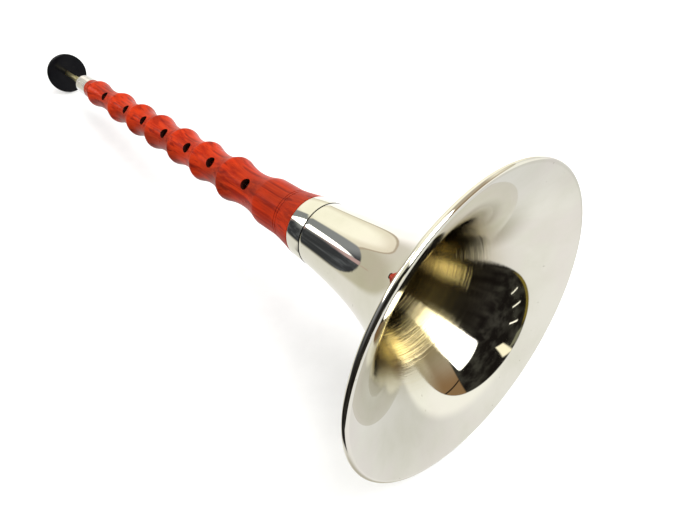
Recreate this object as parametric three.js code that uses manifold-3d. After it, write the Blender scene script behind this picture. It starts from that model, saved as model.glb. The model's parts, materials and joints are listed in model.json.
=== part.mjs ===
// A zurna of the suona kind, in millimetres, +Z up, lying on a table. It rests on the rolled rim of its
// bell and on its lip disc, with the reed towards -X, the bell's mouth towards +X and the row of finger
// holes turned up and to the front, -Y. Every piece is turned about one axis, the bore's.
import * as THREE from "three";
import { mergeVertices } from "three/addons/utils/BufferGeometryUtils.js";
import Module from "manifold-3d";

const wasm = await Module();
wasm.setup();

// How finely round things are faceted. Multiples of four put a flat under the bell and under the disc.
const bellFacets = 40;
const woodFacets = 28;
const tubeFacets = 24;
const discFacets = 24;
const holeFacets = 16;

// Clearances
const seatGap = 0.3; // between two pieces that touch
const cutOverrun = 2; // how far a cutter passes the surface that it cuts

// Bell
const bellLength = 86.9; // from the mouth to the seam
const rimRadius = 65.4;
const neckRadius = 15.65;
const bellWall = 0.5;
const flareReach = 36.8; // a longer reach spreads the flare further up the bell
const flarePower = 1.825;
const flareSteps = 13;
const flareStepPower = 1.5; // above one, the steps are shorter near the mouth
const beadRadius = 1.4; // of the edge, rolled outwards over its wire
const beadCorners = 10; // round a whole turn of the roll, so that one side is flat at the mouth
const rolledCorners = 9; // of them, passed before the roll stops short of the wall
const wireCorners = 6;

// Neck band
const bandLength = 9.4;
const bandWall = 0.5;
const bandSeamRadius = 15.7;
const bandWoodRadius = 15.2;
const bandEdge = 0.2;

// Wood
const woodLength = 258; // from the neck band to the ferrule
const footRadius = 15.2;
const footFlareLength = 16.6;
const footFlarePower = 1.25;
const lineFirst = 11.2; // of the two incised lines, from the foot
const lineApart = 1.9;
const lineCount = 2;
const lineWidth = 0.7;
const lineDepth = 0.3;
const shoulderRadius = 12.6;
const shoulderLength = 14;
const waistShares = [0.1845, 0.306, 0.4145, 0.5225, 0.642, 0.749, 0.882]; // places along the wood
const bulgeShares = [0.25, 0.3635, 0.469, 0.583, 0.686, 0.8025, 0.9515]; // of the bulges over the waists
const bulgeRadius = 12.6; // of the lowest bulge, at the shoulder's end
const bulgeRadiusShares = [0.984, 0.921, 0.881, 0.861, 0.833, 0.806, 0.73]; // of the lowest bulge's
const waistRadiusShares = [0.786, 0.73, 0.694, 0.655, 0.619, 0.595, 0.571]; // of the lowest bulge's
const bulgePower = 0.6; // below one, a bulge is narrower than a waist
const waveSteps = 4; // from a bulge to its waist
const woodTopRadius = 7;
const tenonLength = 21;
const tenonChamfer = 1.2;
const boreFootRadius = 8.3;
const boreTopRadius = 3.3;
const fingerHoleShares = [0.1725, 0.3065, 0.408, 0.5185, 0.628, 0.729, 0.8655]; // places along the wood
const thumbHoleShare = 0.797;
const fingerHoleRadius = 3.1;
const holeRoll = THREE.MathUtils.degToRad(36.3); // from straight up towards the front

// Ferrule
const ferruleLength = 16;
const ferruleFootRadius = 7;
const ferruleTopRadius = 6.8;
const ferruleWall = 0.6;
const ferruleEdge = 0.4;

// Staple
const stapleLength = 70.2;
const stapleFootRadius = 2.95;
const stapleTipRadius = 1.4;
const stapleWall = 0.5;
const stapleDepth = 22; // below the ferrule's top

// Thread lappings
const tenonLappingPlace = 4.5; // above the tenon's end
const tenonLappingLength = 15;
const tenonLappingThickness = 0.8;
const stapleLappingPlace = 1; // above the staple's foot
const stapleLappingLength = 17;
const stapleLappingThickness = 0.6; // at its foot, where the staple is widest
const lappingEdge = 0.25;

// Lip disc
const discRadius = 14.7;
const discThickness = 2.7;
const discEdge = 0.6;

// Reed
const reedSeat = 7; // of the staple's tip, which the reed is pushed over
const reedPlace = 2.5; // above the disc
const reedLength = 23;
const reedWall = 0.7;
const reedTipWall = 0.45;
const reedTipWidth = 8.4;
const reedTipThickness = 1.9;
const reedFootLength = 10; // of the stalk that stays round
const reedSteps = 7; // from the round foot to the flat tip

// Copper wire round the reed's foot
const windingRadius = 0.3; // of the wire
const windingPitch = 1.1;
const windingTurns = 6;
const windingPlace = 1.7; // above the reed's foot
const windingSteps = 24; // round one turn
const windingCorners = 6;

// Radii of the pieces that fit inside one another
const neckTubeFootRadius = bandSeamRadius - bandWall - seatGap;
const neckTubeEndRadius = bandWoodRadius - bandWall - seatGap;
const tenonLappingRadius = neckTubeEndRadius - bellWall - seatGap;
const tenonRadius = tenonLappingRadius - tenonLappingThickness - seatGap;
const capTenonRadius = ferruleTopRadius - ferruleWall - seatGap;
const stapleLappingRadius = stapleFootRadius + seatGap + stapleLappingThickness;
const socketRadius = stapleLappingRadius + seatGap;

// Places along the axis, from the bell's mouth
const woodFoot = bellLength + bandLength + seatGap;
const ferruleFoot = woodFoot + woodLength + seatGap;
const ferruleTop = ferruleFoot + ferruleLength;
const stapleFoot = ferruleTop - stapleDepth;
const reedFoot = stapleFoot + stapleLength - reedSeat;
const discFace = reedFoot - reedPlace - discThickness;

function between(start, end, share) {
  return start + (end - start) * share;
}

// Even shares of one, without zero and with one.
function shares(count) {
  return Array.from({ length: count }, (_, i) => (i + 1) / count);
}

// A body turned about the axis. Its outline is a list of [radius, place] that runs up the outside, down
// the inside and back to its start.
function turned(outline, facets) {
  const points = [...outline, outline[0]].map(([radius, place]) => new THREE.Vector2(radius, place));
  const halfFacet = Math.PI / facets;
  return new THREE.LatheGeometry(points, facets, halfFacet);
}

function solidOf(geometry) {
  const bare = geometry.clone();
  bare.deleteAttribute("normal");
  bare.deleteAttribute("uv");
  const merged = mergeVertices(bare);
  const mesh = new wasm.Mesh({
    numProp: 3,
    vertProperties: merged.attributes.position.array,
    triVerts: new Uint32Array(merged.index.array),
  });
  return new wasm.Manifold(mesh);
}

function geometryOf(solid) {
  const mesh = solid.getMesh();
  const geometry = new THREE.BufferGeometry();
  geometry.setAttribute("position", new THREE.BufferAttribute(mesh.vertProperties, 3));
  geometry.setIndex(new THREE.BufferAttribute(mesh.triVerts, 1));
  geometry.computeVertexNormals();
  return geometry;
}

// The bell's edge is rolled on a circle. An angle of zero points out of the mouth, and a quarter turn
// points away from the axis.
function aroundBead(radius, angle) {
  return [
    rimRadius - beadRadius + radius * Math.sin(angle),
    beadRadius - radius * Math.cos(angle),
  ];
}

function rolledEdge(radius) {
  const turn = (2 * Math.PI) / beadCorners;
  return Array.from({ length: rolledCorners }, (_, i) => aroundBead(radius, (i - 0.5) * turn));
}

// One at the mouth and zero where the flare ends.
function flareAt(share) {
  const opening = (along) => (along * bellLength + flareReach) ** -flarePower;
  return (opening(share) - opening(1)) / (opening(0) - opening(1));
}

// A thin flared shell. Its edge is rolled outwards, and its neck is drawn in under the neck band.
function bell() {
  const seam = bellLength - seatGap;
  const tubeEnd = bellLength + bandLength;
  const roll = rolledEdge(beadRadius);
  const rollInside = rolledEdge(beadRadius - bellWall);
  const [lipRadius, lipPlace] = roll[0];
  const inner = shares(flareSteps).map((share) => {
    const along = share ** flareStepPower;
    return [
      between(neckRadius - bellWall, lipRadius, flareAt(along)),
      between(lipPlace, seam - bellWall, along),
    ];
  });
  const outer = inner.map(([radius, place], i) => {
    const before = inner[i - 1] ?? roll[0];
    const after = inner[i + 1] ?? [radius, place + bellWall];
    const rise = after[1] - before[1];
    const fall = before[0] - after[0];
    const length = Math.hypot(rise, fall);
    return [radius + (bellWall * rise) / length, place + (bellWall * fall) / length];
  });
  const outline = [
    ...outer,
    [neckRadius, seam],
    [neckTubeFootRadius, seam],
    [neckTubeEndRadius, tubeEnd],
    [neckTubeEndRadius - bellWall, tubeEnd],
    [neckTubeFootRadius - bellWall, seam - bellWall],
    ...inner.reverse(),
    ...roll,
    ...rollInside.reverse(),
  ];
  return turned(outline, bellFacets);
}

function rimWire() {
  const radius = beadRadius - bellWall - seatGap;
  const outline = shares(wireCorners).map((share) => aroundBead(radius, share * 2 * Math.PI));
  return turned(outline, bellFacets);
}

function neckBand() {
  const outline = [
    [bandSeamRadius - bandEdge, 0],
    [bandSeamRadius, bandEdge],
    [bandWoodRadius, bandLength - bandEdge],
    [bandWoodRadius - bandEdge, bandLength],
    [bandWoodRadius - bandWall, bandLength],
    [bandSeamRadius - bandWall, 0],
  ];
  return turned(outline, bellFacets);
}

// The flared foot of the wood, with its incised lines, up to the shoulder.
function woodFootOutline() {
  const flare = (place) => (1 - place / footFlareLength) ** footFlarePower;
  const radiusAt = (place) => between(shoulderRadius, footRadius, flare(place));
  const lines = Array.from({ length: lineCount }, (_, i) => lineFirst + i * lineApart);
  const cuts = lines.flatMap((line) => {
    const [start, end] = [line - lineWidth / 2, line + lineWidth / 2];
    return [
      [radiusAt(start), start],
      [radiusAt(line) - lineDepth, line],
      [radiusAt(end), end],
    ];
  });
  const middle = lineFirst / 2;
  return [[footRadius, 0], [radiusAt(middle), middle], ...cuts, [shoulderRadius, footFlareLength]];
}

// Bulges and waists, from the shoulder to the ferrule.
function woodWaves() {
  const start = footFlareLength + shoulderLength;
  const ring = (radiusShare, share) => [bulgeRadius * radiusShare, woodLength * share];
  const bulges = [[bulgeRadius, start], ...bulgeShares.map((share, i) => ring(bulgeRadiusShares[i], share))];
  const waists = waistShares.map((share, i) => ring(waistRadiusShares[i], share));
  const dip = (share) => Math.sin((Math.PI / 2) * share ** bulgePower) ** 2;
  const down = ([radius, place], [lowRadius, lowPlace]) =>
    shares(waveSteps).map((share) => [
      between(radius, lowRadius, dip(share)),
      between(place, lowPlace, share),
    ]);
  const up = ([lowRadius, lowPlace], [radius, place]) =>
    shares(waveSteps).map((share) => [
      between(radius, lowRadius, dip(1 - share)),
      between(lowPlace, place, share),
    ]);
  const waves = waists.flatMap((waist, i) => [...down(bulges[i], waist), ...up(waist, bulges[i + 1])]);
  return [bulges[0], ...waves, ...down(bulges.at(-1), [woodTopRadius, woodLength])];
}

function fingerHole(place, towards) {
  const length = footRadius + cutOverrun;
  const hole = new THREE.CylinderGeometry(fingerHoleRadius, fingerHoleRadius, length, holeFacets);
  const along = new THREE.Quaternion().setFromUnitVectors(new THREE.Vector3(0, 1, 0), towards);
  const middle = towards.clone().multiplyScalar(length / 2);
  hole.applyQuaternion(along);
  hole.translate(middle.x, place, middle.z);
  return solidOf(hole);
}

// One conical stick. Its lower tenon goes into the bell, and its upper end holds the staple's socket.
function woodBody() {
  const capEnd = woodLength + ferruleLength - ferruleWall;
  const socketFloor = stapleFoot - seatGap - woodFoot;
  const outline = [
    [tenonRadius - tenonChamfer, -tenonLength],
    [tenonRadius, tenonChamfer - tenonLength],
    [tenonRadius, 0],
    ...woodFootOutline(),
    ...woodWaves(),
    [capTenonRadius, woodLength],
    [capTenonRadius, capEnd],
    [socketRadius, capEnd],
    [socketRadius, socketFloor],
    [boreTopRadius, socketFloor],
    [boreFootRadius, -tenonLength],
  ];
  const front = new THREE.Vector3(-Math.sin(holeRoll), 0, Math.cos(holeRoll));
  const back = front.clone().negate();
  const holes = fingerHoleShares.map((share) => fingerHole(share * woodLength, front));
  holes.push(fingerHole(thumbHoleShare * woodLength, back));
  const drilled = holes.reduce((solid, hole) => solid.subtract(hole), solidOf(turned(outline, woodFacets)));
  return geometryOf(drilled);
}

// A thread winding as one smooth sleeve. Its inside follows what it is wound on.
function lapping(radius, length, footInside, topInside) {
  const outline = [
    [radius - lappingEdge, 0],
    [radius, lappingEdge],
    [radius, length - lappingEdge],
    [radius - lappingEdge, length],
    [topInside + seatGap, length],
    [footInside + seatGap, 0],
  ];
  return turned(outline, tubeFacets);
}

function tenonLapping() {
  return lapping(tenonLappingRadius, tenonLappingLength, tenonRadius, tenonRadius);
}

function stapleLapping() {
  const foot = stapleRadius(stapleLappingPlace);
  const top = stapleRadius(stapleLappingPlace + stapleLappingLength);
  return lapping(stapleLappingRadius, stapleLappingLength, foot, top);
}

// A cap that narrows a little towards its closed top, where the staple comes out.
function topFerrule() {
  const outline = [
    [ferruleFootRadius, 0],
    [ferruleTopRadius, ferruleLength - ferruleEdge],
    [ferruleTopRadius - ferruleEdge, ferruleLength],
    [socketRadius, ferruleLength],
    [socketRadius, ferruleLength - ferruleWall + seatGap],
    [capTenonRadius + seatGap, ferruleLength - ferruleWall + seatGap],
    [capTenonRadius + seatGap, 0],
  ];
  return turned(outline, tubeFacets);
}

// Outer radius of the staple at a height above its foot.
function stapleRadius(height) {
  return between(stapleFootRadius, stapleTipRadius, height / stapleLength);
}

function staple() {
  const outline = [
    [stapleFootRadius, 0],
    [stapleTipRadius, stapleLength],
    [stapleTipRadius - stapleWall, stapleLength],
    [stapleFootRadius - stapleWall, 0],
  ];
  return turned(outline, tubeFacets);
}

// A flat disc with a tapered hole that turns on the staple.
function lipDisc() {
  const face = discFace - stapleFoot;
  const outline = [
    [discRadius - discEdge, 0],
    [discRadius, discEdge],
    [discRadius, discThickness - discEdge],
    [discRadius - discEdge, discThickness],
    [stapleRadius(face + discThickness) + seatGap, discThickness],
    [stapleRadius(face) + seatGap, 0],
  ];
  return turned(outline, discFacets);
}

const reedInside = stapleRadius(reedFoot - stapleFoot) + seatGap;
const reedOutside = reedInside + reedWall;

// One round stalk, pinched flat towards its tip, which leaves a narrow mouth between two blades.
function reed() {
  const pinched = shares(reedSteps).map((share) => between(reedFootLength, reedLength, share));
  const heights = [0, reedFootLength, ...pinched];
  const outside = heights.map((height) => [reedOutside, height]);
  const inside = heights.map((height) => [reedInside, height]).reverse();
  const stalk = turned([...outside, ...inside], tubeFacets);
  const vertices = stalk.attributes.position;
  for (let i = 0; i < vertices.count; i++) {
    const [x, height, z] = [vertices.getX(i), vertices.getY(i), vertices.getZ(i)];
    const radius = Math.hypot(x, z);
    const isInside = radius < (reedInside + reedOutside) / 2;
    const wall = isInside ? reedTipWall : 0;
    const pinch = THREE.MathUtils.smoothstep(height, reedFootLength, reedLength);
    const wide = between(radius, reedTipWidth / 2 - wall, pinch) / radius;
    const thick = between(radius, reedTipThickness / 2 - wall, pinch) / radius;
    vertices.setXYZ(i, x * wide, height, z * thick);
  }
  return stalk;
}

class Winding extends THREE.Curve {
  getPoint(share, target = new THREE.Vector3()) {
    const turns = share * windingTurns;
    const angle = turns * 2 * Math.PI;
    const radius = reedOutside + seatGap + windingRadius;
    return target.set(radius * Math.sin(angle), turns * windingPitch, radius * Math.cos(angle));
  }
}

// The least gap between one turn of the wire and the next, measured on points along it.
function leastWindingGap(winding) {
  const points = winding.getPoints(windingTurns * windingSteps);
  const gaps = points.slice(windingSteps).map((point, i) => point.distanceTo(points[i]));
  return Math.min(...gaps) - 2 * windingRadius;
}

function reedWire() {
  const corners = shares(windingCorners).map((share) => {
    const angle = share * 2 * Math.PI;
    return new THREE.Vector2(windingRadius * Math.cos(angle), windingRadius * Math.sin(angle));
  });
  const winding = new Winding();
  console.log("least gap between turns of the reed wire", leastWindingGap(winding).toFixed(2), "mm");
  return new THREE.ExtrudeGeometry(new THREE.Shape(corners), {
    steps: windingTurns * windingSteps,
    extrudePath: winding,
  });
}

const whiteMetal = { color: 0xd9d4c8, roughness: 0.16, metalness: 1 };
const redWood = { color: 0xb8301c, roughness: 0.35, metalness: 0 };
const silver = { color: 0xdedcd6, roughness: 0.25, metalness: 1 };
const brass = { color: 0xb59a52, roughness: 0.25, metalness: 1 };
const blackDisc = { color: 0x0b0b0d, roughness: 0.15, metalness: 0 };
const thread = { color: 0xd8cdb4, roughness: 0.9, metalness: 0 };
const steel = { color: 0x8d8d8b, roughness: 0.4, metalness: 1 };
const cane = { color: 0xd9b672, roughness: 0.6, metalness: 0 };
const copper = { color: 0xb86b3c, roughness: 0.3, metalness: 1 };

// Adds one named piece to a group, with its own foot at a place along the axis.
function add(group, name, geometry, place, finish) {
  const piece = new THREE.Mesh(geometry, new THREE.MeshStandardMaterial(finish));
  piece.name = name;
  piece.position.y = place;
  group.add(piece);
  return piece;
}

// Each group holds the pieces that move together.
const stick = new THREE.Group();
add(stick, "wood_body", woodBody(), woodFoot, redWood);
add(stick, "tenon_lapping", tenonLapping(), woodFoot - tenonLength + tenonLappingPlace, thread);
add(stick, "top_ferrule", topFerrule(), ferruleFoot, silver);

const bellGroup = new THREE.Group();
add(bellGroup, "bell", bell(), 0, whiteMetal);
add(bellGroup, "rim_wire", rimWire(), 0, steel);
add(bellGroup, "neck_band", neckBand(), bellLength, whiteMetal);

const stapleGroup = new THREE.Group();
add(stapleGroup, "staple", staple(), stapleFoot, brass);
add(stapleGroup, "staple_lapping", stapleLapping(), stapleFoot + stapleLappingPlace, thread);

const discGroup = new THREE.Group();
add(discGroup, "lip_disc", lipDisc(), discFace, blackDisc);

const reedGroup = new THREE.Group();
reedGroup.rotation.y = -holeRoll;
add(reedGroup, "reed", reed(), reedFoot, cane);
add(reedGroup, "reed_wire", reedWire(), reedFoot + windingPlace, copper);

// The lowest flats of the rim and of the disc both touch the table, which gives the axis its slope.
const rimHeight = rimRadius * Math.cos(Math.PI / bellFacets);
const discHeight = discRadius * Math.cos(Math.PI / discFacets);
const contactsApart = discFace + discThickness - discEdge - beadRadius;
const slope = Math.atan((rimHeight - discHeight) / contactsApart);

const zurna = new THREE.Group();
zurna.add(stick, bellGroup, stapleGroup, discGroup, reedGroup);
const back = new THREE.Vector3(0, 1, 0);
const alongAxis = new THREE.Vector3(-Math.cos(slope), 0, -Math.sin(slope));
const up = new THREE.Vector3(-Math.sin(slope), 0, Math.cos(slope));
zurna.setRotationFromMatrix(new THREE.Matrix4().makeBasis(back, alongAxis, up));

// The origin is on the table, under the middle of the whole length and width.
const box = new THREE.Box3().setFromObject(zurna, true);
const middle = box.getCenter(new THREE.Vector3());
zurna.position.set(-middle.x, -middle.y, -box.min.z);

export default zurna;
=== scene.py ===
# A zurna of the suona kind, lying on the rim of its bell and on its lip disc.
import json
import math
import bmesh
import bpy
from mathutils import Matrix, Vector


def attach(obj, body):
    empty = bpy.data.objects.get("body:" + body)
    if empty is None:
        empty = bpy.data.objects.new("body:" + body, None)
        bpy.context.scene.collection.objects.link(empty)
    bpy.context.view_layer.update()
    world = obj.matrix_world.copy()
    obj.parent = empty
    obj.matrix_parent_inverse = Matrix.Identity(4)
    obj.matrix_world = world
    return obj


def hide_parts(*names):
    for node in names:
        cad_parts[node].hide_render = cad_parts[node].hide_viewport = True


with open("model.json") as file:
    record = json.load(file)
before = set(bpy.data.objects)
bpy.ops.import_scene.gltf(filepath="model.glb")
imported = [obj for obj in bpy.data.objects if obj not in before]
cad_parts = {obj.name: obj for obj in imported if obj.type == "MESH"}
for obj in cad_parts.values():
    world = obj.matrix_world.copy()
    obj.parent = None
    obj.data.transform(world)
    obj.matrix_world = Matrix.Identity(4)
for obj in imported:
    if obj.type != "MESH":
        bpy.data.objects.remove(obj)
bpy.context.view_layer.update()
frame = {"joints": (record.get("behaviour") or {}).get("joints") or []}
mm = 0.001
gap = 0.3  # the clearance that fitted pieces keep

# Every piece is turned about the bore. In the lathe's frame Z runs along the bore from the middle of the
# bell's mouth to the reed, and X points up. Sizes and places along the bore are in mm.
discTurn = next(joint for joint in frame["joints"] if joint["name"] == "lip_disc_turn")
discMiddle = 408.25
bore = Vector(discTurn["axis"]).normalized()
upright = Vector((bore.z, 0, -bore.x))
mouthCentre = Vector(discTurn["pos_m"]) - bore * (discMiddle * mm)
lathe = Matrix((upright, bore.cross(upright), bore)).transposed().to_4x4()
lathe.translation = mouthCentre


def between(start, end, share):
    return start + (end - start) * share


def steps(count, start=0.0, end=1.0):
    return [between(start, end, i / count) for i in range(count + 1)]


def smooth(share):
    share = min(max(share, 0.0), 1.0)
    return share * share * (3 - 2 * share)


def roundCorner(corner, before, after, radius, count=4):
    # points of a small arc that takes the place of an outline's corner
    corner, before, after = Vector(corner), Vector(before), Vector(after)
    start = corner + (before - corner).normalized() * radius
    end = corner + (after - corner).normalized() * radius
    return [tuple(start.lerp(corner, share).lerp(corner.lerp(end, share), share)) for share in steps(count)]


def rounded(outline, radii):
    # rounds the corners of a closed outline, by a table of corner number and radius in mm
    points = []
    for i, corner in enumerate(outline):
        if i in radii:
            after = outline[(i + 1) % len(outline)]
            points += roundCorner(corner, outline[i - 1], after, radii[i])
        else:
            points.append(corner)
    return points


def added(name, data):
    # a new object in the scene
    piece = bpy.data.objects.new(name, data)
    bpy.context.scene.collection.objects.link(piece)
    return piece


def shadeSmooth(mesh, sharp):
    for polygon in mesh.polygons:
        polygon.use_smooth = True
    mesh.set_sharp_from_angle(angle=math.radians(sharp))


def place(name, mesh, body, stands, finish=None, sharp=35):
    piece = added(name, mesh)
    shadeSmooth(mesh, sharp)
    if finish:
        mesh.materials.append(finish)
    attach(piece, body)
    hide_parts(*stands)
    return piece


def meshOf(name, bm):
    # the mesh, brought from the lathe's frame into the model's
    bmesh.ops.recalc_face_normals(bm, faces=bm.faces[:])
    mesh = bpy.data.meshes.new(name)
    bm.to_mesh(mesh)
    bm.free()
    mesh.transform(lathe)
    return mesh


def turned(name, outline, sides=192, shape=None):
    # a closed outline of (radius, place along the bore) in mm, spun round the bore
    bm = bmesh.new()
    rings = []
    for k in range(sides):
        turn = 2 * math.pi * k / sides
        ring = []
        for radius, along in outline:
            point = (radius * math.cos(turn), radius * math.sin(turn), along)
            point = shape(point) if shape else point
            ring.append(bm.verts.new([number * mm for number in point]))
        rings.append(ring)
    for k in range(sides):
        here, beside = rings[k], rings[(k + 1) % sides]
        for i in range(len(outline)):
            j = (i + 1) % len(outline)
            bm.faces.new((here[i], here[j], beside[j], beside[i]))
    return meshOf(name, bm)


def wound(name, coilRadius, start, end, pitch, thickness, stepsRound=40, sides=8):
    # a thread or wire wound round the bore, with rounded ends
    turns = (end - start) / pitch
    count = int(turns * stepsRound)
    bm = bmesh.new()
    rings = []
    for i in range(count + 1):
        turn = 2 * math.pi * i / stepsRound
        along = start + pitch * i / stepsRound
        outward = Vector((math.cos(turn), math.sin(turn), 0))
        middle = outward * coilRadius + Vector((0, 0, along))
        swell = min(1.0, 0.25 + 0.25 * min(i, count - i))
        ring = []
        for k in range(sides):
            angle = 2 * math.pi * k / sides
            offset = (outward * math.cos(angle) + Vector((0, 0, math.sin(angle)))) * thickness / 2 * swell
            ring.append(bm.verts.new((middle + offset) * mm))
        rings.append(ring)
    for here, beside in zip(rings, rings[1:]):
        for k in range(sides):
            bm.faces.new((here[k], here[(k + 1) % sides], beside[(k + 1) % sides], beside[k]))
    bm.faces.new(rings[0])
    bm.faces.new(rings[-1])
    return meshOf(name, bm)


class Signal:
    # a socket of a shader, so that sums on it read as plain sums
    def __init__(self, paint, socket):
        self.paint, self.socket = paint, socket

    def maths(self, operation, first, second):
        return self.paint.node("ShaderNodeMath", {"operation": operation}, {0: first, 1: second})

    def __add__(self, other):
        return self.maths("ADD", self, other)

    def __sub__(self, other):
        return self.maths("SUBTRACT", self, other)

    def __rsub__(self, other):
        return self.maths("SUBTRACT", other, self)

    def __mul__(self, other):
        return self.maths("MULTIPLY", self, other)

    def __truediv__(self, other):
        return self.maths("DIVIDE", self, other)

    def __pow__(self, other):
        return self.maths("POWER", self, other)


class Paint:
    # a material, or the world, and the nodes in it
    def __init__(self, owner):
        owner.use_nodes = True
        self.owner, self.tree = owner, owner.node_tree
        self.tree.nodes.clear()

    def node(self, kind, settings=None, sockets=None, output=0):
        made = self.tree.nodes.new(kind)
        for name, value in (settings or {}).items():
            setattr(made, name, value)
        for name, value in (sockets or {}).items():
            if isinstance(value, Signal):
                self.tree.links.new(value.socket, made.inputs[name])
            else:
                made.inputs[name].default_value = value
        return Signal(self, made.outputs[output]) if made.outputs else None

    def spot(self):
        # the place in the piece's own frame, which is the model's
        return self.node("ShaderNodeTexCoord", output="Object")

    def parts(self, vector):
        return [self.node("ShaderNodeSeparateXYZ", {}, {0: vector}, axis) for axis in "XYZ"]

    def vector(self, x, y, z):
        return self.node("ShaderNodeCombineXYZ", {}, {0: x, 1: y, 2: z})

    def noise(self, vector, scale, detail=3.0, roughness=0.5, distortion=0.0):
        sockets = {"Vector": vector, "Scale": scale, "Detail": detail}
        sockets |= {"Roughness": roughness, "Distortion": distortion}
        return self.node("ShaderNodeTexNoise", {}, sockets)

    def ease(self, value, low, high, lowTo=0.0, highTo=1.0):
        # runs smoothly from lowTo to highTo as the value goes from low to high
        sockets = {"Value": value, "From Min": low, "From Max": high, "To Min": lowTo, "To Max": highTo}
        return self.node("ShaderNodeMapRange", {"interpolation_type": "SMOOTHSTEP"}, sockets)

    def strip(self, value, low, high, soft):
        # rises softly after low and falls softly before high
        return self.ease(value, low, low + soft) * self.ease(value, high - soft, high, 1.0, 0.0)

    def mix(self, share, first, second):
        # sockets 6 and 7 and output 2 are the node's colours
        first = first if isinstance(first, Signal) else (*first, 1)
        second = second if isinstance(second, Signal) else (*second, 1)
        return self.node("ShaderNodeMix", {"data_type": "RGBA"}, {0: share, 6: first, 7: second}, output=2)

    def bump(self, height, strength, distance):
        sockets = {"Height": height, "Strength": strength, "Distance": distance}
        return self.node("ShaderNodeBump", {}, sockets)

    def surface(self, **sockets):
        named = {name.replace("_", " "): value for name, value in sockets.items()}
        shader = self.node("ShaderNodeBsdfPrincipled", {}, named)
        self.node("ShaderNodeOutputMaterial", {}, {"Surface": shader})
        return self.owner


def newPaint(name):
    return Paint(bpy.data.materials.new(name))


def lathePlaces(paint):
    # the lathe's own places: across, sideways and along the bore
    spot = paint.spot()
    offset = paint.node("ShaderNodeVectorMath", {"operation": "SUBTRACT"}, {0: spot, 1: mouthCentre})
    return [
        paint.node("ShaderNodeVectorMath", {"operation": "DOT_PRODUCT"}, {0: offset, 1: axis}, "Value")
        for axis in (upright, bore.cross(upright), bore)
    ]


def fromBore(across, sideways):
    return (across * across + sideways * sideways) ** 0.5


print("wood")
wood = {
    "foot": 96.6, "length": 258, "footRadius": 15.2, "footFlare": 16.6, "flarePower": 1.25,
    "shoulderRadius": 12.6, "shoulder": 14, "topRadius": 7, "bulgePower": 0.6,
    "bulgePlaces": [0.25, 0.3635, 0.469, 0.583, 0.686, 0.8025, 0.9515],
    "bulgeRadii": [12.6, 12.4, 11.6, 11.1, 10.85, 10.5, 10.16, 9.2],
    "waistPlaces": [0.1845, 0.306, 0.4145, 0.5225, 0.642, 0.749, 0.882],
    "waistRadii": [9.9, 9.2, 8.74, 8.25, 7.8, 7.5, 7.19],
    "lines": (11.2, 13.1), "lineWidth": 0.7, "lineDepth": 0.3, "lineMargin": 0.6, "footEdge": 0.15,
    "tenonRadius": 12.5, "tenonLength": 21, "tenonChamfer": 1.2, "boreRadii": (8.3, 3.3),
    "socketRadius": 4.15, "socketFloor": 252.0, "capTenonRadius": 5.9, "capEnd": 273.4,
    "holes": [0.1725, 0.3065, 0.408, 0.5185, 0.628, 0.729, 0.8655], "thumbHole": 0.797,
    "holeRadius": 3.1, "holeEdge": 0.22, "holeRoll": math.radians(36.3), "drillLength": 20,
}


def dip(share):
    # how far down the wave lies, by its share of the way from a bulge to the next waist
    return math.sin(math.pi / 2 * max(share, 0) ** wood["bulgePower"]) ** 2


def waveRadius(height):
    # radius of the waves at a height above the wood's foot
    start, length = wood["footFlare"] + wood["shoulder"], wood["length"]
    bulges = [start] + [share * length for share in wood["bulgePlaces"]]
    waists = [share * length for share in wood["waistPlaces"]] + [length]
    for i, (bulge, waist) in enumerate(zip(bulges, waists)):
        low = (wood["waistRadii"] + [wood["topRadius"]])[i]
        if height <= waist:
            return between(wood["bulgeRadii"][i], low, dip((height - bulge) / (waist - bulge)))
        if height <= bulges[i + 1]:
            share = (bulges[i + 1] - height) / (bulges[i + 1] - waist)
            return between(wood["bulgeRadii"][i + 1], low, dip(share))


def footRadius(height):
    flare = max(0.0, 1 - height / wood["footFlare"]) ** wood["flarePower"]
    radius = between(wood["shoulderRadius"], wood["footRadius"], flare)
    for line in wood["lines"]:
        off = abs(height - line) / (wood["lineWidth"] / 2)
        radius -= wood["lineDepth"] * (1 - smooth(off))
    return radius


def woodOutline():
    foot, length = wood["foot"], wood["length"]
    waves = wood["footFlare"] + wood["shoulder"]
    lineStart, lineEnd = wood["lines"][0] - wood["lineMargin"], wood["lines"][1] + wood["lineMargin"]
    heights = steps(12, 0, lineStart) + steps(30, lineStart, lineEnd)[1:] + steps(6, lineEnd, waves)[1:]
    outline = [(footRadius(height), height) for height in heights]
    outline += [(waveRadius(height), height) for height in steps(260, waves, length)[1:-1]]
    outline += [(wood["topRadius"], length), (wood["capTenonRadius"], length)]
    outline += [(wood["capTenonRadius"], wood["capEnd"]), (wood["socketRadius"], wood["capEnd"])]
    outline += [(wood["socketRadius"], wood["socketFloor"]), (wood["boreRadii"][1], wood["socketFloor"])]
    wide, narrow = wood["boreRadii"]
    boreRadii, boreHeights = steps(24, narrow, wide), steps(24, wood["socketFloor"], -wood["tenonLength"])
    outline += list(zip(boreRadii, boreHeights))[1:]
    outline += [(wood["tenonRadius"] - wood["tenonChamfer"], -wood["tenonLength"])]
    outline += [(wood["tenonRadius"], wood["tenonChamfer"] - wood["tenonLength"])]
    outline += [(wood["tenonRadius"], 0), (wood["footRadius"] - wood["footEdge"], 0)]
    outline[0] = (wood["footRadius"], wood["footEdge"])
    return [(radius, foot + height) for radius, height in outline]


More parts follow.
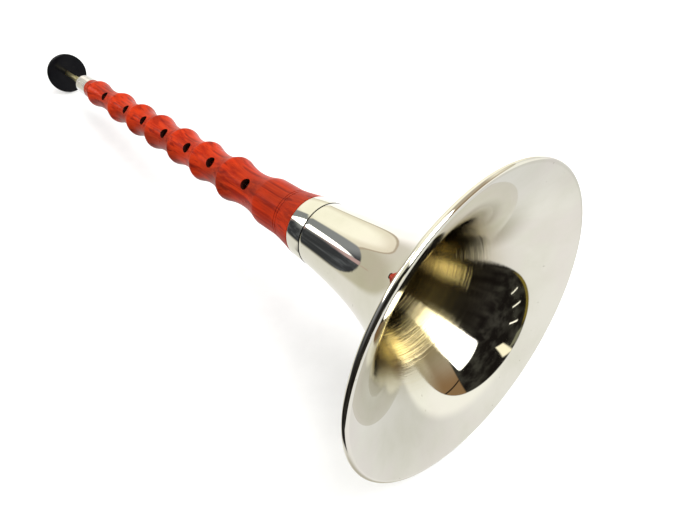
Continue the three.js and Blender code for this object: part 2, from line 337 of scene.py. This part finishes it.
def drill(height, roll):
    # a cutter from the bore outwards, through the wall
    bm = bmesh.new()
    length, radius = wood["drillLength"], wood["holeRadius"]
    bmesh.ops.create_cone(bm, cap_ends=True, segments=64, radius1=radius * mm, radius2=radius * mm,
                          depth=length * mm)
    turn = Matrix.Rotation(math.pi / 2, 4, "Y")
    out = Matrix.Rotation(roll, 4, "Z") @ Matrix.Translation((length / 2 * mm, 0, 0)) @ turn
    raised = Matrix.Translation((0, 0, (wood["foot"] + height) * mm)) @ out
    bmesh.ops.transform(bm, matrix=raised, verts=bm.verts[:])
    return bm


def applyModifiers(piece):
    bpy.context.view_layer.update()
    graph = bpy.context.evaluated_depsgraph_get()
    mesh = bpy.data.meshes.new_from_object(piece.evaluated_get(graph))
    piece.modifiers.clear()
    piece.data = mesh


stick = place("stick", turned("stick", woodOutline(), 160), "stick", ["wood_body"])
holePlaces = [(share, -wood["holeRoll"]) for share in wood["holes"]]
holePlaces += [(wood["thumbHole"], math.pi - wood["holeRoll"])]
drills = bmesh.new()
for share, roll in holePlaces:
    cutter = drill(share * wood["length"], roll)
    cutterMesh = bpy.data.meshes.new("drill")
    cutter.to_mesh(cutterMesh)
    cutter.free()
    drills.from_mesh(cutterMesh)
drillMesh = meshOf("drills", drills)
drillPiece = added("drills", drillMesh)


def paintWood():
    paint = newPaint("red wood")
    across, sideways, along = lathePlaces(paint)
    figure = paint.noise(paint.vector(across, sideways, along * 0.06), 190, 4, 0.6, 0.8)
    grain = paint.noise(paint.vector(across, sideways, along * 0.03), 900, 3, 0.6)
    streaks = paint.noise(paint.vector(across, sideways, along * 0.02), 520, 2, 0.5, 0.3)
    pores = paint.noise(paint.vector(across, sideways, along * 0.08), 2600, 2, 0.5)
    streaks, pores = paint.ease(streaks, 0.55, 0.68), paint.ease(pores, 0.62, 0.72)
    heart = paint.noise(paint.vector(across, sideways, along * 0.5), 42, 3, 0.5)
    tone = paint.mix(paint.ease(figure, 0.35, 0.68), (0.505, 0.031, 0.005), (0.25, 0.01, 0.003))
    tone = paint.mix(paint.ease(heart, 0.46, 0.62) * 0.65, tone, (0.17, 0.018, 0.007))
    tone = paint.mix(paint.ease(grain, 0.4, 0.75) * 0.35, tone, (0.56, 0.055, 0.009))
    tone = paint.mix(streaks * 0.65, tone, (0.13, 0.008, 0.004))
    tone = paint.mix(pores * 0.45, tone, (0.08, 0.007, 0.004))
    for line in wood["lines"]:
        # the incised lines are painted dark
        middle, half = (wood["foot"] + line) * mm, wood["lineWidth"] / 2 * mm
        stain = paint.strip(along, middle - half, middle + half, half) * 0.85
        tone = paint.mix(stain, tone, (0.05, 0.004, 0.003))
    polish = paint.noise(paint.spot(), 60, 3)
    relief = paint.bump(grain * 0.4 - pores - streaks * 0.4, 0.3, 0.00002)
    return paint.surface(Base_Color=tone, Roughness=paint.ease(polish, 0.3, 0.7, 0.26, 0.36), Normal=relief,
                         Specular_IOR_Level=0.035)


def paintBore():
    # the drilled wood, painted near-black as painted shade inside the bore and the holes
    paint = newPaint("drilled wood")
    across, sideways, along = lathePlaces(paint)
    fibres = paint.noise(paint.vector(across, sideways, along * 0.1), 1400, 3, 0.6)
    tone = paint.mix(paint.ease(fibres, 0.35, 0.7), (0.012, 0.004, 0.003), (0.03, 0.006, 0.004))
    # painted shade: lighter further out from the bore, towards the holes' mouths
    tone = paint.mix(paint.ease(fromBore(across, sideways), 0.007, 0.012), tone, (0.05, 0.007, 0.004))
    return paint.surface(Base_Color=tone, Roughness=paint.ease(fibres, 0.3, 0.7, 0.75, 0.9),
                         Normal=paint.bump(fibres, 0.4, 0.00005), Specular_IOR_Level=0.02)


woodPaints = [paintWood(), paintBore()]
for mesh in (stick.data, drillMesh):
    for paint in woodPaints:
        mesh.materials.append(paint)
for polygon in drillMesh.polygons:
    polygon.material_index = 1
cut = stick.modifiers.new("holes", "BOOLEAN")
cut.object, cut.operation, cut.solver = drillPiece, "DIFFERENCE", "EXACT"
soften = stick.modifiers.new("soft edges", "BEVEL")
soften.width, soften.segments, soften.limit_method = wood["holeEdge"] * mm, 2, "ANGLE"
soften.angle_limit = math.radians(50)
applyModifiers(stick)
bpy.data.objects.remove(drillPiece)
shadeSmooth(stick.data, 40)

print("bell")
bell = {
    "length": 86.9, "rimRadius": 65.4, "neckRadius": 15.65, "wall": 0.5, "reach": 36.8, "power": 1.825,
    "bead": 1.4, "beadTurn": (-18, 262), "beadSteps": 36, "seamEdge": 0.1,
    "tubeRadii": (14.9, 14.4), "tubeEnd": 96.3, "seamDark": (-0.45, 0.25), "seamDarkFade": 0.05,
}


def flare(share):
    def opening(along):
        return (along * bell["length"] + bell["reach"]) ** -bell["power"]
    return (opening(share) - opening(1)) / (opening(0) - opening(1))


def aroundBead(radius, angle):
    middle = bell["rimRadius"] - bell["bead"]
    return middle + radius * math.sin(angle), bell["bead"] - radius * math.cos(angle)


def bellOutlines():
    seam, wall = bell["length"] - gap, bell["wall"]
    angles = [math.radians(angle) for angle in steps(bell["beadSteps"], *bell["beadTurn"])]
    roll = [aroundBead(bell["bead"], angle) for angle in angles]
    rollInside = [aroundBead(bell["bead"] - wall, angle) for angle in angles]
    lipRadius, lipPlace = roll[0]
    inner = []
    for share in steps(90)[1:]:
        # the points crowd towards the rim
        along = share ** 1.5
        radius = between(bell["neckRadius"] - wall, lipRadius, flare(along))
        inner.append((radius, between(lipPlace, seam - wall, along)))
    outer = []
    for i, (radius, along) in enumerate(inner):
        before = inner[i - 1] if i else roll[0]
        after = inner[i + 1] if i + 1 < len(inner) else (radius, along + wall)
        rise, fall = after[1] - before[1], before[0] - after[0]
        length = math.hypot(rise, fall)
        outer.append((radius + wall * rise / length, along + wall * fall / length))
    neck = [(bell["neckRadius"] - bell["seamEdge"], seam), (bell["tubeRadii"][0], seam)]
    neck += [(bell["tubeRadii"][1], bell["tubeEnd"]), (bell["tubeRadii"][1] - wall, bell["tubeEnd"])]
    neck += [(bell["tubeRadii"][0] - wall, seam - wall)]
    inside = list(reversed(inner)) + roll
    outside = list(reversed(rollInside)) + outer + neck
    return inside, outside


def paintWhiteMetal(name, brushed):
    paint = newPaint(name)
    spot = paint.spot()
    across, sideways, along = lathePlaces(paint)
    clouds = paint.noise(spot, 34, 4, 0.55)
    specks = paint.ease(paint.noise(spot, 420, 1), 0.76, 0.8)
    tone = paint.mix(paint.ease(clouds, 0.35, 0.7), (0.71, 0.69, 0.6), (0.65, 0.635, 0.53))
    haze = paint.ease(paint.noise(spot, 19, 3, 0.6), 0.45, 0.65)
    tone = paint.mix(haze * 0.6, tone, (0.69, 0.635, 0.585))
    tone = paint.mix(specks * 0.3, tone, (0.3, 0.26, 0.2))
    distance = fromBore(across, sideways)
    around, beside = across / distance, sideways / distance
    if brushed:
        # the lathe's polishing marks run round the throat, whose colour is painted darker and golden-brown
        # as painted shade, with lighter rings as painted highlights
        throat, depth = paint.ease(along, 0.012, 0.03), paint.ease(along, 0.028, 0.05)
        marks = paint.noise(paint.vector(around * 0.2, beside * 0.2, along * 5200), 1.0, 2, 0.6)
        rings = paint.noise(paint.vector(around * 0.4, beside * 0.4, along * 950), 1.0, 3, 0.6)
        tone = paint.mix(throat, tone, (0.36, 0.31, 0.17))
        tone = paint.mix(paint.ease(rings, 0.5, 0.75) * throat * 0.35, tone, (0.56, 0.49, 0.3))
        # painted shade, darkest deep in the throat
        tone = paint.mix(depth, tone, (0.13, 0.105, 0.055))
        gloss = paint.ease(clouds, 0.3, 0.75, 0.02, 0.05) + throat * 0.05
        relief = paint.bump((marks + rings * 0.45) * throat, 1.0, 0.00008)
    else:
        # the seam between the bell and its band, and a little beside it, is painted dark
        start, end = (bell["length"] + offset for offset in bell["seamDark"])
        seam = paint.strip(along, start * mm, end * mm, bell["seamDarkFade"] * mm)
        tone = paint.mix(seam, tone, (0.03, 0.027, 0.022))
        marks = paint.noise(paint.vector(around, beside, along * 700), 1.0, 3, 0.6)
        gloss = paint.ease(clouds, 0.3, 0.75, 0.02, 0.06)
        relief = paint.bump(marks, 0.15, 0.00002)
    return paint.surface(Base_Color=tone, Metallic=1.0, Roughness=gloss, Normal=relief)


inside, outside = bellOutlines()
bellMesh = turned("bell", inside + outside, 288)
place("bellShell", bellMesh, "bell", ["bell"], sharp=50)
bellMesh.materials.append(paintWhiteMetal("white metal, outside", False))
bellMesh.materials.append(paintWhiteMetal("white metal, inside", True))
count, innerWall = len(inside) + len(outside), len(inside) - bell["beadSteps"] - 1
for polygon in bellMesh.polygons:
    polygon.material_index = 1 if polygon.index % count < innerWall else 0

print("neck band")
band = {"radii": (15.7, 15.2), "wall": 0.5, "edge": 0.22}
bandStart, bandEnd = bell["length"], bell["tubeEnd"]
bandOutline = [
    (band["radii"][0], bandStart), (band["radii"][1], bandEnd),
    (band["radii"][1] - band["wall"], bandEnd), (band["radii"][0] - band["wall"], bandStart),
]
bandOutline = rounded(bandOutline, {0: band["edge"], 1: band["edge"]})
place("neckBand", turned("neckBand", bandOutline, 192), "bell", ["neck_band"],
      paintWhiteMetal("white metal, band", False))

print("rim wire")
wire = {"radius": 0.6}
wireMiddle = Vector((bell["rimRadius"] - bell["bead"], bell["bead"]))
wireOutline = [
    wireMiddle + Vector((math.cos(angle), math.sin(angle))) * wire["radius"]
    for angle in steps(12, 0, 2 * math.pi)[:-1]
]


def paintDrawn(name, colour, darker, roughness, lines=2600):
    # drawn or turned metal with fine lines and a little dullness
    paint = newPaint(name)
    across, sideways, along = lathePlaces(paint)
    scratches = paint.noise(paint.vector(across, sideways, along * 0.05), lines, 3, 0.6)
    dull = paint.noise(paint.spot(), 160, 3)
    tone = paint.mix(paint.ease(dull, 0.35, 0.7), colour, darker)
    gloss = paint.ease(dull + scratches * 0.4, 0.4, 1.0, roughness, roughness + 0.16)
    relief = paint.bump(scratches, 0.2, 0.00003)
    return paint.surface(Base_Color=tone, Metallic=1.0, Roughness=gloss, Normal=relief)


place("rimWire", turned("rimWire", wireOutline, 160), "bell", ["rim_wire"],
      paintDrawn("steel wire", (0.5, 0.5, 0.49), (0.36, 0.35, 0.33), 0.35))

print("ferrule")
ferrule = {"length": 16, "radii": (7, 6.8), "wall": 0.6, "edge": 0.4, "hole": 4.15}


def ferruleOutline():
    foot = wood["foot"] + wood["length"] + gap
    length, top, curve = ferrule["length"], ferrule["radii"][1], ferrule["edge"]
    sides = [(between(*ferrule["radii"], share), foot + share * (length - curve)) for share in steps(16)]
    edge = [
        (top - curve * (1 - math.cos(angle)), foot + length - curve * (1 - math.sin(angle)))
        for angle in steps(6, 0, math.pi / 2)[1:]
    ]
    inner = wood["capTenonRadius"] + gap
    roof = foot + length - ferrule["wall"] + gap
    inside = [(ferrule["hole"], foot + length), (ferrule["hole"], roof), (inner, roof), (inner, foot)]
    return sides + edge + inside


place("ferrule", turned("ferrule", ferruleOutline(), 160), "stick", ["top_ferrule"],
      paintDrawn("silver cap", (0.85, 0.85, 0.87), (0.71, 0.71, 0.74), 0.07, 900))

print("staple")
staple = {"length": 70.2, "radii": (2.95, 1.4), "wall": 0.5}
stapleFoot = wood["foot"] + wood["socketFloor"] + gap


def stapleRadius(height):
    return between(*staple["radii"], height / staple["length"])


stapleOuter = [(stapleRadius(height), stapleFoot + height) for height in steps(20, 0, staple["length"])]
stapleInner = [(radius - staple["wall"], along) for radius, along in reversed(stapleOuter)]
place("staple", turned("staple", stapleOuter + stapleInner, 96), "staple", ["staple"],
      paintDrawn("staple brass", (0.62, 0.56, 0.3), (0.5, 0.44, 0.22), 0.3))

print("lappings")
lapping = {
    "tenon": {"coil": 13.2, "start": 80.6, "end": 94.5, "thread": 0.78},
    "staple": {"coil": 3.53, "start": 350.3, "end": 366.5, "thread": 0.58},
}


def paintThread():
    paint = newPaint("waxed thread")
    across, sideways, along = lathePlaces(paint)
    fibres = paint.noise(paint.vector(across * 3, sideways * 3, along), 1500, 3, 0.7)
    wax = paint.noise(paint.spot(), 300, 2)
    tone = paint.mix(paint.ease(fibres, 0.3, 0.7), (0.74, 0.66, 0.5), (0.5, 0.42, 0.28))
    return paint.surface(Base_Color=tone, Roughness=paint.ease(wax, 0.3, 0.7, 0.5, 0.85),
                         Normal=paint.bump(fibres, 0.5, 0.00005))


threadPaint = paintThread()
for key, body in (("tenon", "stick"), ("staple", "staple")):
    size = lapping[key]
    thread = wound(key + "Lapping", size["coil"], size["start"], size["end"], size["thread"], size["thread"])
    place(key + "Lapping", thread, body, [key + "_lapping"], threadPaint, sharp=80)

print("lip disc")
disc = {"radius": 14.7, "thickness": 2.7, "edge": 0.9, "holeEdge": 0.25, "holeTaper": 0.07}


def paintDisc():
    paint = newPaint("black disc")
    across, sideways, along = lathePlaces(paint)
    swirl = paint.noise(paint.vector(across, sideways, along), 90, 4, 0.6)
    hairs = paint.noise(paint.vector(across * 8, sideways, along), 500, 2, 0.6)
    tone = paint.mix(paint.ease(swirl, 0.3, 0.7), (0.002, 0.002, 0.003), (0.006, 0.006, 0.007))
    gloss = paint.ease(swirl + hairs * 0.4, 0.4, 1.0, 0.08, 0.24)
    return paint.surface(Base_Color=tone, Roughness=gloss, Specular_IOR_Level=0.08,
                         Normal=paint.bump(hairs, 0.08, 0.00003))


discFace, discBack = discMiddle - disc["thickness"] / 2, discMiddle + disc["thickness"] / 2
holeRadius = stapleRadius(discFace - stapleFoot) + gap
discOutline = [
    (holeRadius, discFace), (disc["radius"], discFace),
    (disc["radius"], discBack), (holeRadius - disc["holeTaper"], discBack),
]
discEdges = {0: disc["holeEdge"], 1: disc["edge"], 2: disc["edge"], 3: disc["holeEdge"]}
discOutline = rounded(discOutline, discEdges)
place("lipDisc", turned("lipDisc", discOutline, 160), "lip_disc", ["lip_disc"], paintDisc())

print("reed")
reed = {
    "foot": 412.1, "length": 23, "wall": 0.7, "tipWall": 0.45, "tipWidth": 8.4, "tipThickness": 1.9,
    "roundLength": 10, "footRings": [0, 0.3, 1],
}
reedInside = stapleRadius(reed["foot"] - stapleFoot) + gap
reedOutside = reedInside + reed["wall"]


def pinch(point):
    # presses the tube flat towards its tip, between the front and the back
    x, y, along = point
    radius = math.hypot(x, y)
    isInside = radius < (reedInside + reedOutside) / 2
    wall = reed["tipWall"] if isInside else 0
    share = smooth((along - reed["foot"] - reed["roundLength"]) / (reed["length"] - reed["roundLength"]))
    wide = between(radius, reed["tipWidth"] / 2 - wall, share) / radius
    thick = between(radius, reed["tipThickness"] / 2 - wall, share) / radius
    front = Vector((math.cos(wood["holeRoll"]), -math.sin(wood["holeRoll"])))
    side = Vector((-front.y, front.x))
    flat = Vector((x, y))
    flat = front * (flat @ front) * thick + side * (flat @ side) * wide
    return flat.x, flat.y, along


def paintCane():
    paint = newPaint("cane")
    across, sideways, along = lathePlaces(paint)
    fibres = paint.noise(paint.vector(across, sideways, along * 0.03), 2600, 3, 0.6)
    stain = paint.noise(paint.spot(), 260, 3)
    tone = paint.mix(paint.ease(fibres, 0.35, 0.7), (0.68, 0.47, 0.2), (0.46, 0.28, 0.1))
    tone = paint.mix(paint.ease(stain, 0.5, 0.75) * 0.5, tone, (0.8, 0.62, 0.34))
    return paint.surface(Base_Color=tone, Roughness=paint.ease(stain, 0.3, 0.7, 0.45, 0.65),
                         Normal=paint.bump(fibres, 0.4, 0.00004))


reedHeights = reed["footRings"] + steps(4, reed["footRings"][-1], reed["roundLength"])[1:]
reedHeights += steps(24, reed["roundLength"], reed["length"])[1:]
reedOutline = [(reedOutside, reed["foot"] + height) for height in reedHeights]
reedOutline += [(reedInside, reed["foot"] + height) for height in reversed(reedHeights)]
place("reed", turned("reed", reedOutline, 96, pinch), "reed", ["reed"], paintCane())

winding = {"coil": 0.6, "start": 413.8, "turns": 6, "pitch": 1.1, "thickness": 0.6}
windingEnd = winding["start"] + winding["turns"] * winding["pitch"]
copper = wound("reedWire", reedOutside + winding["coil"], winding["start"], windingEnd, winding["pitch"],
               winding["thickness"], stepsRound=48, sides=12)
place("reedWire", copper, "reed", ["reed_wire"],
      paintDrawn("copper wire", (0.86, 0.42, 0.24), (0.5, 0.2, 0.1), 0.18), sharp=80)

print("floor, light and camera")
floorReach = 4
floorMesh = bpy.data.meshes.new("floor")
floorCorners = [(x * floorReach, y * floorReach, 0) for x, y in ((-1, -1), (1, -1), (1, 1), (-1, 1))]
floorMesh.from_pydata(floorCorners, [], [(0, 1, 2, 3)])
floor = added("floor", floorMesh)
# the metal mirrors the painted room's floor instead, and no light bounces up from this one
floor.visible_glossy = False
floor.visible_diffuse = False
floorPaint = newPaint("pale paper")
fleck = floorPaint.noise(floorPaint.spot(), 40, 4, 0.6)
paper = floorPaint.mix(floorPaint.ease(fleck, 0.35, 0.7), (0.94, 0.94, 0.93), (0.91, 0.91, 0.9))
floorMesh.materials.append(floorPaint.surface(Base_Color=paper, Roughness=0.9))


class Room(Paint):
    # the world's paint, by the direction in which a ray leaves
    def __init__(self, world):
        super().__init__(world)
        self.towards = self.node("ShaderNodeTexCoord", output="Generated")
        self.ways = self.parts(self.towards)


def mirroredPaper(room):
    # pale paper all round, and a card that stands behind the neck
    x, y, z = room.ways
    ease, mix = room.ease, room.mix
    tone = mix(ease(y, 0.3, 0.8), (1.1, 1.1, 1.12), (0.87, 0.87, 0.87))
    tone = mix(ease(z, -0.12, 0.02) * ease(x, -0.1, 0.3), tone, (1.27, 1.27, 1.25))
    tone = mix(ease(z, -0.98, -0.78, 1.0, 0.0), tone, (0.6, 0.58, 0.5))
    behind = mix(ease(z, -0.42, -0.28), (1.0, 0.99, 0.96), (0.7, 0.67, 0.55))
    behind = mix(ease(y, -0.1, 0.2) * ease(z, -0.42, -0.1), behind, (0.9, 0.88, 0.8))
    behind = mix(ease(y, 0.35, 0.55), behind, (1.5, 1.5, 1.5))
    card = z + ease(y, -0.1, 0.25, -0.33, -0.1)
    behind = mix(ease(card, -0.01, 0.0), behind, (1.12, 1.06, 0.9))
    behind = mix(ease(card, 0.05, 0.22), behind, (1.4, 1.37, 1.22))
    behind = mix(room.strip(card, -0.025, 0.025, 0.02), behind, (0.62, 0.54, 0.42))
    return mix(ease(x, -0.3, 0.1, 1.0, 0.0), tone, behind)


def mirroredDark(room, tone):
    # a dark room in front of the bell, with its ceiling, a brown wall and a window
    x, y, z = room.ways
    ease, mix, strip = room.ease, room.mix, room.strip
    skirting = z - y * 0.73
    front = ease(skirting, -0.21, -0.19) * ease(x, -0.3, 0.0)
    side = ease(y, -0.4, -0.3, 1.0, 0.0) * strip(x, -0.64, 0.44, 0.1) * strip(z, -0.88, 0.7, 0.06)
    dark = 1 - (1 - front) * (1 - side)
    stains = ease(room.noise(room.towards, 7, 4, 0.6), 0.42, 0.7)
    darkTone = mix(stains, (0.012, 0.01, 0.009), (0.06, 0.058, 0.05))
    darkTone = mix(ease(x, -0.4, 0.5, 1.0, 0.0) * ease(z, 0.0, 0.4), darkTone, (0.28, 0.28, 0.3))
    ceiling = mix(ease(x, -0.4, 0.4), (0.45, 0.45, 0.45), (1.2, 1.17, 1.05))
    tone = mix(dark, tone, mix(ease(z, 0.74, 0.82), darkTone, ceiling))
    gilt = strip(skirting, -0.21, -0.152, 0.015) * ease(y, 0.0, 0.05, 1.0, 0.0) * ease(x, 0.8, 0.9)
    tone = mix(gilt, tone, (0.26, 0.2, 0.04))
    wall = dark * ease(y - x * 0.45, -0.01, 0.01) * ease(z, 0.0, 0.05)
    wallTone = mix(ease(y, 0.55, 0.85), (0.33, 0.2, 0.1), (0.66, 0.6, 0.46))
    wallTone = mix(ease(z, 0.3, 0.8), wallTone, (0.6, 0.53, 0.42))
    wallTone = mix(ease(z, 0.35, 0.75) * ease(y, 0.6, 0.75), wallTone, (1.25, 1.2, 1.05))
    tone = mix(wall, tone, wallTone)
    crack = wall * strip(z + y * 0.6, 0.545, 0.575, 0.01) * ease(y, 0.6, 0.66, 1.0, 0.0)
    tone = mix(crack, tone, (0.02, 0.015, 0.01))
    edge = strip(y, 0.04, 0.13, 0.02) * strip(skirting, -0.2, -0.12, 0.02) * ease(x, 0.7, 0.8)
    tone = mix(dark * edge, tone, (0.28, 0.28, 0.2))
    stool = strip(y, 0.02, 0.17, 0.02) * strip(z + y * 1.2, 0.08, 0.19, 0.02) * ease(x, 0.7, 0.8)
    tone = mix(dark * stool, tone, (1.5, 1.4, 1.1))
    slant = y + skirting * 0.42
    slats = room.node("ShaderNodeMath", {"operation": "COSINE"}, {0: (slant + 0.194) * 53.7})
    slats = ease(slats, 0.93, 0.99) * strip(skirting, -0.07, 0.09, 0.02) * strip(slant, -0.36, -0.02, 0.02)
    tone = mix(slats * ease(x, 0.8, 0.9), tone, (1.8, 1.75, 1.6))
    windowSide = ease(y * 0.636 + z * 0.311 - x * 0.07, -0.01, 0.05)
    windowEnd = ease(x * 0.262 - y * 0.51, -0.02, 0.01) * ease(y - x * 0.1, 0.2, 0.24, 1.0, 0.0)
    windowTop = 1 - ease(z, 0.75, 0.82) * ease(x, 0.14, 0.22, 1.0, 0.0)
    return mix(ease(z, 0.42, 0.49) * windowTop * windowSide * windowEnd, tone, (14.0, 14.0, 14.0))


def mirroredGrey(room, tone):
    # a grey side beside the neck, with a second window
    x, y, z = room.ways
    ease, mix, strip = room.ease, room.mix, room.strip
    near = ease(z * 0.62 - y + z * z * 0.667, 0.4, 0.42) * ease(z, -0.4, -0.28)
    near = near * ease(y, -0.14, -0.08, 1.0, 0.0) * ease(z, 0.6, 0.66, 1.0, 0.0)
    near = near * ease(x, -0.5, -0.3, 1.0, 0.0)
    blots = ease(room.noise(room.towards, 9, 3, 0.6), 0.4, 0.65)
    nearTone = mix(blots, (0.05, 0.053, 0.062), (0.13, 0.14, 0.16))
    nearTone = mix(ease(z, 0.16, 0.32), nearTone, (0.34, 0.36, 0.39))
    tone = mix(near, tone, nearTone)
    wedge = z + y * 0.82
    pink = strip(wedge, -0.25, -0.1, 0.04) * ease(y, -0.5, -0.42)
    tone = mix(near * pink, tone, (0.66, 0.46, 0.47))
    tail = strip(wedge, -0.235, -0.2, 0.01) * strip(y, -0.37, -0.27, 0.03) * ease(x, -0.5, -0.3, 1.0, 0.0)
    tone = mix(tail * 0.6, tone, (0.62, 0.42, 0.36))
    glare = ease(wedge, -0.15, -0.06) * ease(y, -0.38, -0.33, 1.0, 0.0) * near
    return mix(glare ** 2, tone, (8.0, 8.0, 8.0))


def paintRoom():
    # the metal mirrors the painted room, and everything else is lit by a plain one
    world = bpy.data.worlds.new("room")
    bpy.context.scene.world = world
    room = Room(world)
    mirrored = mirroredGrey(room, mirroredDark(room, mirroredPaper(room)))
    y, z = room.ways[1:]
    plain = room.mix(room.ease(y, -0.7, 0.7), (1.25, 1.25, 1.25), (1.02, 1.02, 1.02))
    plain = room.mix(room.ease(z, -0.4, -0.04), (0.35, 0.35, 0.35), plain)
    plain = room.mix(room.ease(z, 0.5, 0.95), plain, (1.45, 1.45, 1.45))
    isMirrored = room.node("ShaderNodeLightPath", output="Is Glossy Ray")
    shine = room.node("ShaderNodeBackground", {}, {"Color": room.mix(isMirrored, plain, mirrored)})
    room.node("ShaderNodeOutputWorld", {}, {"Surface": shine})


paintRoom()

lamp = {"spot": (0.5, 0.6, 1.3), "aim": (0, 0, 0.04), "size": 1.0, "power": 12}
light = bpy.data.lights.new("window light", "AREA")
light.shape, light.size, light.energy = "SQUARE", lamp["size"], lamp["power"]
lampHolder = added("window light", light)
lampHolder.location = lamp["spot"]
lampHolder.rotation_euler = (Vector(lamp["aim"]) - Vector(lamp["spot"])).to_track_quat("-Z", "Y").to_euler()
lampHolder.visible_glossy = False

view = {
    "spot": (0.27199, -0.1186, 0.2258), "right": (0.67485, 0.73796, 0.0), "up": (-0.52373, 0.47894, 0.7045),
    "look": (-0.51989, 0.47543, -0.7097), "lens": 28.8, "sensor": 36, "nearest": 0.01,
}
lens = bpy.data.cameras.new("camera")
lens.lens, lens.sensor_width, lens.clip_start = view["lens"], view["sensor"], view["nearest"]
camera = added("camera", lens)
camera.matrix_world = Matrix((view["right"], view["up"], -Vector(view["look"]))).transposed().to_4x4()
camera.matrix_world.translation = view["spot"]
bpy.context.scene.camera = camera
bpy.context.scene.view_settings.view_transform = "Standard"
